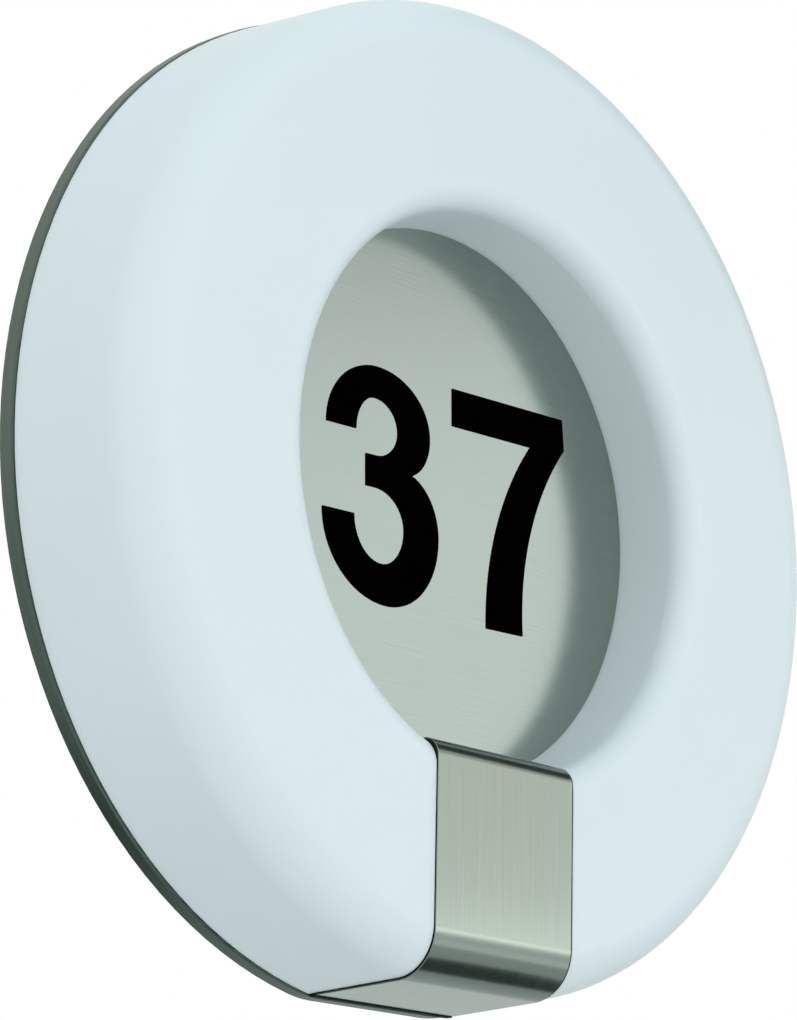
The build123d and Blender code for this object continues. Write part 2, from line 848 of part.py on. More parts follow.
# Cable inlet: a rubber grommet in the pan
grommet_axis = Axis((cable_x, 0, cable_z), (0, 1, 0))
with BuildPart() as cable_grommet:
    with BuildSketch(round_section(cable_x, cable_z)):
        with BuildLine():
            Polyline(
                (cable_radius, pan_back - grommet_rear_flange),
                (grommet_flange_radius, pan_back - grommet_rear_flange),
                (grommet_flange_radius, pan_back),
                (grommet_neck_radius, pan_back),
                (grommet_neck_radius, pan_depth),
                (grommet_flange_radius, pan_depth),
                (grommet_flange_radius, pan_depth + grommet_front_flange / 2),
                (grommet_lip_radius, pan_depth + grommet_front_flange),
                (cable_radius, pan_depth + grommet_front_flange),
                close=True,
            )
        make_face()
    revolve(axis=grommet_axis)
cable_grommet.part.label = "cable_grommet"
export_step(cable_grommet.part, "parts/cable_grommet.step")

# Cable clamp: a bar with two feet and an arch over the cable
arch_out = pan_depth + cable_radius
with BuildPart() as cable_clamp:
    with BuildSketch(side_on(clamp_x)):
        with Locations((pan_depth, cable_z)):
            Rectangle(clamp_wall, clamp_length, align=(Align.MIN, Align.CENTER))
            Rectangle(cable_radius, 2 * (cable_radius + clamp_wall), align=(Align.MIN, Align.CENTER))
        with Locations((arch_out, cable_z)):
            Circle(cable_radius + clamp_wall)
            Circle(cable_radius, mode=Mode.SUBTRACT)
        with Locations((arch_out, cable_z)):
            Rectangle(
                cable_radius + clamp_wall,
                2 * cable_radius,
                align=(Align.MAX, Align.CENTER),
                mode=Mode.SUBTRACT,
            )
        with Locations((pan_depth, cable_z)):
            Rectangle(
                cable_radius, clamp_length, align=(Align.MAX, Align.CENTER), mode=Mode.SUBTRACT
            )
    extrude(amount=clamp_width / 2, both=True)
    with BuildSketch(facing(pan_depth)):
        with Locations(*clamp_screw_places):
            Circle(screw_radius)
    extrude(amount=clamp_wall, mode=Mode.SUBTRACT)
cable_clamp.part.label = "cable_clamp"
export_step(cable_clamp.part, "parts/cable_clamp.step")

cable_clamp_screws = screws(
    clamp_screw_places,
    pan_depth + clamp_wall,
    screw_grip + clamp_wall,
    screw_radius,
    screw_head_radius,
)
cable_clamp_screws.part.label = "cable_clamp_screws"
export_step(cable_clamp_screws.part, "parts/cable_clamp_screws.step")

# Spring sockets on the pan, each slit four ways at the mouth
socket_top = plate_back - stud_flange - socket_air
socket_bore_radius = stud_radius + running_gap
with BuildPart() as stud_sockets:
    stud_places = around(margin_radius, stud_angles)
    with BuildSketch(facing(pan_depth)):
        with Locations(*stud_places):
            Circle(socket_foot_radius)
    extrude(amount=socket_foot)
    with BuildSketch(facing(pan_depth)):
        with Locations(*stud_places):
            Circle(socket_radius)
    extrude(amount=socket_top - pan_depth)
    with BuildSketch(facing(pan_depth + socket_foot)):
        with Locations(*stud_places):
            Circle(socket_bore_radius)
            Rectangle(2 * socket_radius, socket_slit)
            Rectangle(socket_slit, 2 * socket_radius)
    extrude(amount=socket_top, mode=Mode.SUBTRACT)
stud_sockets.part.label = "stud_sockets"
export_step(stud_sockets.part, "parts/stud_sockets.step")

# Studs on the back of the number plate
stud_end = pan_depth + socket_foot + socket_air
with BuildPart() as cover_studs:
    with BuildSketch(facing(plate_back)):
        with Locations(*stud_places):
            Circle(stud_flange_radius)
    extrude(amount=-stud_flange)
    with BuildSketch(facing(plate_back)):
        with Locations(*stud_places):
            Circle(stud_radius)
    extrude(amount=-(plate_back - stud_end))
    chamfer(cover_studs.faces().sort_by(Axis.Y)[-len(stud_places) :].edges(), length=stud_tip)
cover_studs.part.label = "cover_studs"
export_step(cover_studs.part, "parts/cover_studs.step")

# Number plate: a disc with holes for the ring's screws and the strap's studs
boss_places = around(margin_radius, boss_angles)
tab_stud_z = strap_top - strap_tab_drop + tab_stud_rise
tab_stud_places = [(side * tab_stud_spacing / 2, tab_stud_z) for side in (-1, 1)]
with BuildPart() as number_plate:
    with BuildSketch(facing(plate_back)):
        Circle(plate_radius)
        with Locations(*(boss_places + tab_stud_places)):
            Circle(screw_radius + hole_gap, mode=Mode.SUBTRACT)
    extrude(amount=plate_sheet)
number_plate.part.label = "number_plate"
export_step(number_plate.part, "parts/number_plate.step")

# White ring: a turned body, hollowed from behind and cut open for the strap
with BuildPart() as ring_hollow:
    with BuildSketch(round_section()):
        with BuildLine():
            FilletPolyline(
                (seat_outer_radius, seat_out + seat_thickness),
                (diffuser_front_radius - diffuser_wall, light_depth - diffuser_wall),
                (recess_front_radius + diffuser_wall, light_depth - diffuser_wall),
                (recess_rear_radius + diffuser_wall, plate_front + diffuser_wall),
                (plate_radius, plate_front + diffuser_wall),
                (plate_radius, 0),
                (seat_inner_radius, 0),
                (seat_inner_radius, seat_out + seat_thickness),
                radius=[0, outer_round - diffuser_wall, inner_round - diffuser_wall, 0, 0, 0, 0, 0],
                close=True,
            )
        make_face()
    revolve(axis=Axis.Y)
    with Locations((0, 0, -light_radius / 2)):
        Box(2 * end_wall_outer, 3 * light_depth, light_radius, mode=Mode.SUBTRACT)

# Ledges inside the ring's ends, which the strap's bottom leg is bolted to
ledge_top = strap_inside(ledge_front, strap_sheet) + ledge_thickness
ledge_stud_out = (ledge_rear + ledge_front) / 2
ledge_stud_places = [
    (side * (bay_half - ledge_width / 2), -ledge_stud_out) for side in (-1, 1)
]
ledge_stud_foot = strap_inside(ledge_stud_out, strap_sheet / 2)
with BuildPart() as ring_ledges:
    with BuildSketch(side_on(0)):
        with BuildLine():
            Polyline(
                (ledge_rear, strap_inside(ledge_rear, strap_sheet)),
                (ledge_front, strap_inside(ledge_front, strap_sheet)),
                (ledge_front, ledge_top),
                (ledge_rear, ledge_top),
                close=True,
            )
        make_face()
    extrude(amount=bay_half, both=True)
    with Locations((0, -ledge_stud_out, ledge_top)):
        Box(
            2 * (bay_half - ledge_width),
            2 * ledge_front,
            4 * ledge_thickness + strap_bottom_round,
            mode=Mode.SUBTRACT,
        )

lamp_pass = sqrt(lamp_ring_radius**2 - bay_half**2)
with BuildPart() as diffuser:
    with BuildSketch(round_section()):
        with BuildLine():
            FilletPolyline(
                (diffuser_rear_radius, lip_out),
                (diffuser_front_radius, light_depth),
                (recess_front_radius, light_depth),
                (recess_rear_radius, plate_front),
                (end_wall_inner_radius, plate_front),
                (end_wall_inner_radius, seat_out),
                (seat_outer_radius, seat_out),
                (seat_outer_radius, lip_out),
                radius=[0, outer_round, inner_round, 0, 0, 0, 0, 0],
                close=True,
            )
        make_face()
    revolve(axis=Axis.Y)
    add(ring_hollow.part, mode=Mode.SUBTRACT)
    with Locations((0, 0, -light_radius / 2)):
        Box(2 * bay_half, 3 * light_depth, light_radius, mode=Mode.SUBTRACT)
    with Locations((0, 0, -lamp_pass)):
        Box(
            2 * (end_wall_outer + overrun),
            2 * (lamp_out + tube_radius + notch_air),
            2 * (tube_radius + notch_air),
            mode=Mode.SUBTRACT,
        )
    with BuildSketch(facing(plate_front)):
        with Locations(*boss_places):
            Circle(boss_radius)
    extrude(amount=diffuser_wall + boss_height)
    with BuildSketch(facing(plate_front)):
        with Locations(*boss_places):
            Circle(screw_radius)
    extrude(amount=screw_grip, mode=Mode.SUBTRACT)
    add(ring_ledges.part)
    with BuildSketch(Plane.XY.offset(ledge_top)):
        with Locations(*ledge_stud_places):
            Circle(screw_radius + hole_gap)
    extrude(amount=ledge_stud_foot - ledge_top, mode=Mode.SUBTRACT)
diffuser.part.label = "diffuser"
export_step(diffuser.part, "parts/diffuser.step")

diffuser_screws = screws(
    boss_places, plate_back, plate_sheet + screw_grip, screw_radius, screw_head_radius, -1
)
diffuser_screws.part.label = "diffuser_screws"
export_step(diffuser_screws.part, "parts/diffuser_screws.step")

# Strap: a folded strip with four weld studs, two into the number plate, two into the ledges
with BuildPart() as strap:
    with BuildSketch(side_on(0)):
        with BuildLine():
            FilletPolyline(
                (plate_front, strap_top - strap_tab_drop),
                *strap_corners(0),
                radius=[strap_plate_round, strap_top_round, strap_bottom_round],
            )
            offset(amount=strap_sheet, side=Side.RIGHT)
        make_face()
    extrude(amount=strap_width / 2, both=True)
    with BuildSketch(facing(plate_front + strap_sheet / 2)):
        with Locations(*tab_stud_places):
            Circle(screw_radius)
    extrude(amount=-(strap_sheet / 2 + plate_sheet + nut_height + stud_past_nut))
    with BuildSketch(Plane.XY.offset(ledge_stud_foot)):
        with Locations(*ledge_stud_places):
            Circle(screw_radius)
    extrude(amount=ledge_top + nut_height + stud_past_nut - ledge_stud_foot)
strap.part.label = "strap"
export_step(strap.part, "parts/strap.step")

# Nuts on the weld studs
with BuildPart() as strap_nuts:
    with BuildSketch(facing(plate_back)):
        with Locations(*tab_stud_places):
            RegularPolygon(nut_across / 2, 6, major_radius=False)
            Circle(screw_radius, mode=Mode.SUBTRACT)
    extrude(amount=-nut_height)
    with BuildSketch(Plane.XY.offset(ledge_top)):
        with Locations(*ledge_stud_places):
            RegularPolygon(nut_across / 2, 6, major_radius=False)
            Circle(screw_radius, mode=Mode.SUBTRACT)
    extrude(amount=nut_height)
strap_nuts.part.label = "strap_nuts"
export_step(strap_nuts.part, "parts/strap_nuts.step")

# Seals in the narrow gaps between the strap's edges and the ends of the ring
with BuildPart() as end_seals:
    for seal_x in (bay_half, -strap_width / 2):
        with BuildSketch(side_on(seal_x)):
            with BuildLine():
                FilletPolyline(
                    *strap_corners(seal_inset),
                    radius=[strap_top_round - seal_inset, strap_bottom_round - seal_inset],
                )
                offset(amount=strap_sheet - seal_inset, side=Side.RIGHT)
            make_face()
        extrude(amount=seal_width)
end_seals.part.label = "end_seals"
export_step(end_seals.part, "parts/end_seals.step")

# Digit 3: an upper and a lower bowl that overlap at the waist
number_face = Plane(
    origin=(0, -plate_front, 0),
    x_dir=(cos(radians(number_turn)), 0, sin(radians(number_turn))),
    z_dir=(0, -1, 0),
)
three_left = number_shift - (digit_gap + (three_width_share + seven_width_share) * digit_height) / 2
seven_left = three_left + three_width_share * digit_height + digit_gap
with BuildPart() as digit_3:
    with BuildSketch(number_face):
        for bowl_shares in (upper_bowl_shares, lower_bowl_shares):
            with BuildLine():
                for leaving, arriving in zip(bowl_shares, bowl_shares[1:] + bowl_shares[:1]):
                    glyph_edge(three_left, leaving, arriving)
            make_face()
    extrude(amount=digit_thickness)
digit_3.part.label = "digit_3"
export_step(digit_3.part, "parts/digit_3.step")

# Digit 7: a bar and a curved stroke
seven_points = [glyph_place(seven_left, x, z) for x, z in seven_shares]
with BuildPart() as digit_7:
    with BuildSketch(number_face):
        with BuildLine():
            Polyline(*seven_points[:3])
            ThreePointArc(*seven_points[2:5])
            Line(*seven_points[4:6])
            ThreePointArc(*seven_points[5:8])
            Polyline(seven_points[7], seven_points[8], seven_points[0])
        make_face()
    extrude(amount=digit_thickness)
digit_7.part.label = "digit_7"
export_step(digit_7.part, "parts/digit_7.step")
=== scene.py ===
"""Looks of the round outdoor wall light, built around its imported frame.

Seen from the front, right is +X and up is +Z, and the light faces -Y. Lengths are in metres.
"""

import json
import logging
import math
from dataclasses import dataclass, field
from enum import Enum

import bmesh
import bpy
from mathutils import Matrix, Vector

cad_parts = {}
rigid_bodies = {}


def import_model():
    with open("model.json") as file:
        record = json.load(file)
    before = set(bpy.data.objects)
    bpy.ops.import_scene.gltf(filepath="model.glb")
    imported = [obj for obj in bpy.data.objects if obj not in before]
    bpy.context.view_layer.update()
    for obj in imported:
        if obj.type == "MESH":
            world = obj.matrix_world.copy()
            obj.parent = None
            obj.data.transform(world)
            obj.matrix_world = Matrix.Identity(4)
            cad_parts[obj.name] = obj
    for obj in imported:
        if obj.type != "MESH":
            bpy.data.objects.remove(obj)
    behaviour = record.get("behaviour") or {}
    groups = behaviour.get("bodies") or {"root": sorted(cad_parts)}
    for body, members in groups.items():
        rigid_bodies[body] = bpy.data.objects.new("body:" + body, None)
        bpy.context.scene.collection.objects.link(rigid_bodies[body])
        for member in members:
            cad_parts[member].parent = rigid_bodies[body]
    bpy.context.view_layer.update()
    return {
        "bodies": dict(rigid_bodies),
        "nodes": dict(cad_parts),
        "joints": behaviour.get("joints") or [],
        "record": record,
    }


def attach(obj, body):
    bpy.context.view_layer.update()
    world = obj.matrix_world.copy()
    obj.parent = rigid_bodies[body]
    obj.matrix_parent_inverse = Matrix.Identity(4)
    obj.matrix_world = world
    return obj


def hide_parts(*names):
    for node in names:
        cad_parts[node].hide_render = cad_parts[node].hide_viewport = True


LOG = logging.getLogger("wall_light")
MM = 0.001
Colour = tuple[float, float, float]
Place = tuple[float, float, float]
Pair = tuple[float, float]
Socket = bpy.types.NodeSocket
TO_WALL = Vector((0.0, 1.0, 0.0))
UPWARDS = Vector((0.0, 0.0, 1.0))


class Grain(Enum):
    """The way the brushed lines of a steel sheet run, as the noise scale along X, Y and Z."""

    LEVEL = (34.0, 34.0, 3400.0)
    ALONG_FOLD = (3200.0, 30.0, 30.0)
    AROUND_RIM = (30.0, 3200.0, 30.0)
    FINE = (900.0, 900.0, 900.0)


class Sheet:
    """A material's node tree with short ways to add and join its nodes."""

    noise_span: Pair = (0.3, 0.7)

    def __init__(self, name: str) -> None:
        """Start a material that holds a Principled shader.

        Args:
            name: The material's name.
        """
        self.material = bpy.data.materials.new(name)
        self.material.use_nodes = True
        self.nodes = self.material.node_tree.nodes
        self.links = self.material.node_tree.links
        self.shader = self.nodes["Principled BSDF"]
        self.place = self.nodes.new("ShaderNodeTexCoord").outputs["Object"]

    def set(self, **values: object) -> None:
        """Set the shader's own sockets, named with underscores for spaces."""
        for name, value in values.items():
            self.shader.inputs[name.replace("_", " ")].default_value = value

    def join(self, source: Socket, target: Socket) -> None:
        """Link one socket to another."""
        self.links.new(source, target)

    def noise(self, scale: Place, detail: float) -> Socket:
        """Noise on object coordinates.

        Args:
            scale: How fast the noise varies along X, Y and Z, in cells per metre.
            detail: How many finer layers it has.

        Returns:
            The noise's value, from 0 to 1.
        """
        mapping = self.nodes.new("ShaderNodeMapping")
        mapping.inputs["Scale"].default_value = scale
        self.join(self.place, mapping.inputs["Vector"])
        texture = self.nodes.new("ShaderNodeTexNoise")
        texture.inputs["Scale"].default_value = 1.0
        texture.inputs["Detail"].default_value = detail
        self.join(mapping.outputs["Vector"], texture.inputs["Vector"])
        return texture.outputs["Fac"]

    def ramp(self, source: Socket, low: Colour, high: Colour, span: Pair) -> Socket:
        """A colour that goes from low to high as the source crosses a span.

        Args:
            source: A value from 0 to 1.
            low: The colour at the span's start.
            high: The colour at the span's end.
            span: Where the change starts and ends.

        Returns:
            The colour.
        """
        node = self.nodes.new("ShaderNodeValToRGB")
        for element, at, colour in zip(node.color_ramp.elements, span, (low, high)):
            element.position = at
            element.color = (*colour, 1.0)
        self.join(source, node.inputs["Fac"])
        return node.outputs["Color"]

    def spread(self, source: Socket, low: float, high: float) -> Socket:
        """A value that goes from low to high over the span where most of a noise lies.

        Args:
            source: The noise's value.
            low: The value at the span's start.
            high: The value at the span's end.

        Returns:
            The value.
        """
        node = self.nodes.new("ShaderNodeMapRange")
        names = ("From Min", "From Max", "To Min", "To Max")
        for name, value in zip(names, (*self.noise_span, low, high)):
            node.inputs[name].default_value = value
        self.join(source, node.inputs["Value"])
        return node.outputs["Result"]

    def times(self, first: Socket, second: Socket) -> Socket:
        """One colour multiplied by another.

        Args:
            first: One of the colours.
            second: The other one.

        Returns:
            Their product.
        """
        node = self.nodes.new("ShaderNodeMixRGB")
        node.blend_type = "MULTIPLY"
        node.inputs["Fac"].default_value = 1.0
        self.join(first, node.inputs["Color1"])
        self.join(second, node.inputs["Color2"])
        return node.outputs["Color"]

    def bump(self, source: Socket, depth: float, strength: float) -> None:
        """Raise the surface by a value.

        Args:
            source: The height, from 0 to 1.
            depth: The height of 1, in metres.
            strength: How much of it shows.
        """
        node = self.nodes.new("ShaderNodeBump")
        node.inputs["Strength"].default_value = strength
        node.inputs["Distance"].default_value = depth
        self.join(source, node.inputs["Height"])
        self.join(node.outputs["Normal"], self.shader.inputs["Normal"])


def shade(colour: Colour, share: float) -> Colour:
    """A colour with its brightness multiplied by a share."""
    return tuple(channel * share for channel in colour)


@dataclass(frozen=True)
class BrushedSteel:
    """Sheet steel with fine brushed lines and faint cloudy wear."""

    name: str
    colour: Colour
    grain: Grain
    contrast: float
    roughness: float
    smoother: float = 0.03
    rougher: float = 0.04
    line_detail: float = 3.0
    line_span: Pair = (0.34, 0.66)
    line_depth: float = 0.004 * MM
    line_strength: float = 0.25
    wear: float = 0.03
    wear_scale: float = 17.0
    wear_detail: float = 4.0
    wear_span: Pair = (0.35, 0.65)

    def material(self) -> bpy.types.Material:
        """Make the material: streaks in colour, roughness and height, and wear in the colour.

        Returns:
            The material.
        """
        sheet = Sheet(self.name)
        streaks = sheet.noise(self.grain.value, self.line_detail)
        low, high = shade(self.colour, 1 - self.contrast), shade(self.colour, 1 + self.contrast)
        lines = sheet.ramp(streaks, low, high, self.line_span)
        worn = sheet.noise((self.wear_scale,) * 3, self.wear_detail)
        dull = sheet.ramp(worn, (1 - self.wear,) * 3, (1.0,) * 3, self.wear_span)
        sheet.join(sheet.times(lines, dull), sheet.shader.inputs["Base Color"])
        rough = sheet.spread(
            streaks, self.roughness - self.smoother, self.roughness + self.rougher
        )
        sheet.join(rough, sheet.shader.inputs["Roughness"])
        sheet.bump(streaks, self.line_depth, self.line_strength)
        sheet.set(Metallic=1.0)
        return sheet.material


@dataclass(frozen=True)
class OpalPlastic:
    """Opal acrylic that lets some light in under its skin."""

    name: str
    colour: Colour
    roughness: float = 0.42
    refraction: float = 1.49
    gloss: float = 0.35
    skin_share: float = 0.35
    skin_reach: float = 6 * MM
    cloud_share: float = 0.985
    cloud_scale: float = 14.0
    cloud_detail: float = 2.0
    cloud_span: Pair = (0.35, 0.65)
    ripple_scale: float = 55.0
    ripple_detail: float = 1.0
    ripple_depth: float = 0.05 * MM
    ripple_strength: float = 0.08

    def material(self) -> bpy.types.Material:
        """Make the material: a soft even white with a faint moulded ripple.

        Returns:
            The material.
        """
        sheet = Sheet(self.name)
        cloud = sheet.noise((self.cloud_scale,) * 3, self.cloud_detail)
        low = shade(self.colour, self.cloud_share)
        white = sheet.ramp(cloud, low, self.colour, self.cloud_span)
        sheet.join(white, sheet.shader.inputs["Base Color"])
        ripple = sheet.noise((self.ripple_scale,) * 3, self.ripple_detail)
        sheet.bump(ripple, self.ripple_depth, self.ripple_strength)
        sheet.set(Roughness=self.roughness, IOR=self.refraction, Specular_IOR_Level=self.gloss)
        sheet.set(Subsurface_Weight=self.skin_share, Subsurface_Scale=self.skin_reach)
        sheet.set(Subsurface_Radius=(1.0, 1.0, 1.0))
        return sheet.material


@dataclass(frozen=True)
class Moulded:
    """Plain moulded plastic, rubber or film with a fine texture, whose depth is in millimetres."""

    name: str
    colour: Colour
    roughness: float
    texture: float = 1400.0
    depth: float = 0.02
    gloss: float = 0.5
    texture_detail: float = 2.0
    texture_strength: float = 0.4
    patch_scale: float = 60.0
    patch_detail: float = 3.0
    patch_span: Pair = (0.35, 0.65)
    patch_shares: Pair = (0.93, 1.05)
    rough_shares: Pair = (0.9, 1.1)

    def material(self) -> bpy.types.Material:
        """Make the material: slight colour variation and a fine pebbled skin.

        Returns:
            The material.
        """
        sheet = Sheet(self.name)
        patch = sheet.noise((self.patch_scale,) * 3, self.patch_detail)
        low, high = (shade(self.colour, share) for share in self.patch_shares)
        paint = sheet.ramp(patch, low, high, self.patch_span)
        sheet.join(paint, sheet.shader.inputs["Base Color"])
        smooth, rough = (min(1.0, self.roughness * share) for share in self.rough_shares)
        sheet.join(sheet.spread(patch, smooth, rough), sheet.shader.inputs["Roughness"])
        skin = sheet.noise((self.texture,) * 3, self.texture_detail)
        sheet.bump(skin, self.depth * MM, self.texture_strength)
        sheet.set(Specular_IOR_Level=self.gloss)
        return sheet.material


@dataclass(frozen=True)
class Plated:
    """Plated or bare metal in small pieces, with slight tarnish."""

    name: str
    colour: Colour
    roughness: float
    rougher: float = 0.12
    patch_scale: float = 170.0
    patch_detail: float = 4.0
    patch_span: Pair = (0.3, 0.62)
    patch_shares: Pair = (0.8, 1.05)

    def material(self) -> bpy.types.Material:
        """Make the material: metal with patches of duller tarnish.

        Returns:
            The material.
        """
        sheet = Sheet(self.name)
        patch = sheet.noise((self.patch_scale,) * 3, self.patch_detail)
        low, high = (shade(self.colour, share) for share in self.patch_shares)
        metal = sheet.ramp(patch, low, high, self.patch_span)
        sheet.join(metal, sheet.shader.inputs["Base Color"])
        rough = sheet.spread(patch, self.roughness + self.rougher, self.roughness)
        sheet.join(rough, sheet.shader.inputs["Roughness"])
        sheet.set(Metallic=1.0)
        return sheet.material


@dataclass(frozen=True)
class Striped:
    """Cable insulation with bands of a second colour."""

    name: str
    colour: Colour
    stripe: Colour
    roughness: float = 0.45
    band_scale: float = 60.0
    band_span: Pair = (0.55, 0.6)

    def material(self) -> bpy.types.Material:
        """Make the material: bands across the wire in two colours.

        Returns:
            The material.
        """
        sheet = Sheet(self.name)
        bands = sheet.nodes.new("ShaderNodeTexWave")
        bands.inputs["Scale"].default_value = self.band_scale
        sheet.join(sheet.place, bands.inputs["Vector"])
        mixed = sheet.ramp(bands.outputs["Fac"], self.colour, self.stripe, self.band_span)
        sheet.join(mixed, sheet.shader.inputs["Base Color"])
        sheet.set(Roughness=self.roughness)
        return sheet.material


# Painted shade: the pan gets a far darker copy of the plate's steel, which stands in for the dark
# surroundings that its rim mirrors.
STEEL_PAN_SHADED = BrushedSteel(
    "pan_steel_shaded", (0.108, 0.142, 0.118), Grain.AROUND_RIM, contrast=0.1, roughness=0.42
)
STEEL_PLATE = BrushedSteel(
    "plate_steel", (0.30, 0.345, 0.315), Grain.LEVEL, contrast=0.04, roughness=0.19
)
# Painted shade: the strap gets a darker copy of the plate's steel, so it renders darker than the
# plate under the same lamps.
STEEL_STRAP_SHADED = BrushedSteel(
    "strap_steel", (0.238, 0.273, 0.234), Grain.ALONG_FOLD, contrast=0.03, roughness=0.18
)
GALVANISED = BrushedSteel(
    "galvanised", (0.52, 0.55, 0.57), Grain.FINE, contrast=0.12, roughness=0.4
)
OPAL = OpalPlastic("opal", (0.80, 0.877, 0.880))
FOAM = Moulded("foam", (0.02, 0.02, 0.02), roughness=0.9, texture=900.0, depth=0.2, gloss=0.2)
RUBBER = Moulded(
    "seal_rubber", (0.006, 0.009, 0.009), roughness=0.8, texture=1600.0, depth=0.03, gloss=0.15
)
ENAMEL = Moulded("white_enamel", (0.82, 0.82, 0.8), roughness=0.2, texture=220.0, depth=0.02)
WHITE_PLASTIC = Moulded("white_plastic", (0.78, 0.78, 0.76), roughness=0.35)
NYLON = Moulded("terminal_plastic", (0.7, 0.7, 0.64), roughness=0.5)
BLACK_PLASTIC = Moulded("black_plastic", (0.02, 0.02, 0.02), roughness=0.5)
SOCKET_PLASTIC = Moulded("socket_plastic", (0.72, 0.72, 0.7), roughness=0.4)
BOARD = Moulded("circuit_board", (0.02, 0.12, 0.045), roughness=0.35)
FERRITE = Moulded("ferrite", (0.03, 0.03, 0.032), roughness=0.55)
CAN = Moulded("capacitor_can", (0.05, 0.06, 0.12), roughness=0.3)
FILM = Moulded(
    "digit_film", (0.0004, 0.0004, 0.0004), roughness=0.7, texture=2500.0, depth=0.004, gloss=0.0
)
PHOSPHOR = Moulded(
    "lamp_glass", (0.86, 0.86, 0.84), roughness=0.08, texture=300.0, depth=0.002, gloss=0.7
)
ZINC = Plated("plated_screw", (0.6, 0.6, 0.57), roughness=0.28)
SPRING = Plated("spring_steel", (0.62, 0.62, 0.6), roughness=0.25)
BRASS = Plated("brass_pin", (0.6, 0.42, 0.16), roughness=0.25)
BROWN = Moulded("brown_sleeve", (0.09, 0.032, 0.012), roughness=0.45)
BLUE = Moulded("blue_sleeve", (0.012, 0.06, 0.32), roughness=0.45)
WHITE_SLEEVE = Moulded("white_sleeve", (0.75, 0.75, 0.72), roughness=0.45)
EARTH = Striped("green_sleeve", (0.06, 0.28, 0.03), (0.75, 0.6, 0.03))
Finish = BrushedSteel | OpalPlastic | Moulded | Plated | Striped


@dataclass
class Workshop:
    """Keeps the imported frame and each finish's material, made once, and finishes new pieces."""

    frame: dict
    made: dict[str, bpy.types.Material] = field(default_factory=dict)
    sharp_angle: float = math.radians(35.0)
    rounding_segments: int = 2

    def piece(
        self, name: str, mesh: bmesh.types.BMesh, finish: Finish, body: str, *nodes: str
    ) -> bpy.types.Object:
        """Turn a bmesh into a finished piece that rides on a body.

        Args:
            name: The piece's name.
            mesh: The bmesh, which is freed.
            finish: Its finish.
            body: The body that it rides on.
            nodes: The CAD nodes that it stands for.

        Returns:
            The piece.
        """
        data = bpy.data.meshes.new(name)
        mesh.to_mesh(data)
        mesh.free()
        data.shade_smooth()
        data.set_sharp_from_angle(angle=self.sharp_angle)
        data.materials.append(self.material(finish))
        made = bpy.data.objects.new(name, data)
        bpy.context.scene.collection.objects.link(made)
        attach(made, body)
        if nodes:
            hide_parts(*nodes)
        LOG.info("built %s for %s", name, ", ".join(nodes) or body)
        return made

    def soften(self, piece: bpy.types.Object, width: float) -> None:
        """Round a piece's sharp edges.

        Args:
            piece: The piece.
            width: The rounding's width.
        """
        bevel = piece.modifiers.new("rounding", "BEVEL")
        bevel.width, bevel.segments = width, self.rounding_segments
        bevel.limit_method, bevel.angle_limit = "ANGLE", self.sharp_angle
        bevel.harden_normals = True

    def material(self, finish: Finish) -> bpy.types.Material:
        """The finish's material, made on first use.

        Args:
            finish: The finish.

        Returns:
            Its material.
        """
        if finish.name not in self.made:
            self.made[finish.name] = finish.material()
        return self.made[finish.name]

    def dress(self, finish: Finish, *nodes: str) -> None:
        """Give CAD nodes a finish.

        Args:
            finish: The finish.
            nodes: The nodes' names.
        """
        for node in nodes:
            piece = self.frame["nodes"][node]
            piece.data.materials.clear()
            piece.data.materials.append(self.material(finish))
            LOG.info("dressed %s in %s", node, finish.name)


@dataclass
class BackHalf:
    """What stays on the wall: pan, gaskets, reflector, lamp and gear."""

    def build(self, shop: Workshop) -> None:
        """Dress the back half's pieces.

        Args:
            shop: The workshop that dresses the pieces.
        """
        # The pan's steel carries painted shade.
        shop.dress(STEEL_PAN_SHADED, "base_pan")
        shop.dress(FOAM, "wall_gasket")
        shop.dress(RUBBER, "rim_gasket", "cable_grommet")
        shop.dress(ENAMEL, "reflector")
        shop.dress(WHITE_PLASTIC, "lamp_cap", "lampholder", "lead_clip")
        shop.dress(PHOSPHOR, "ring_lamp")
        shop.dress(BRASS, "lamp_pins", "terminal_screws", "earth_tag")
        shop.dress(SPRING, "lamp_clips")
        shop.dress(GALVANISED, "ballast_case", "ballast_lid")
        shop.dress(BOARD, "ballast_board")
        shop.dress(FERRITE, "ballast_choke")
        shop.dress(CAN, "ballast_capacitors")
        shop.dress(NYLON, "terminal_block")
        shop.dress(SOCKET_PLASTIC, "stud_sockets")
        shop.dress(BLACK_PLASTIC, "cable_clamp")
        shop.dress(BROWN, "live_wire")
        shop.dress(BLUE, "neutral_wire")
        shop.dress(EARTH, "earth_wire")
        shop.dress(WHITE_SLEEVE, "lamp_leads")
        screws = ("reflector", "lampholder", "ballast", "terminal_block", "cable_clamp")
        shop.dress(ZINC, "earth_screw", *(f"{name}_screws" for name in screws))


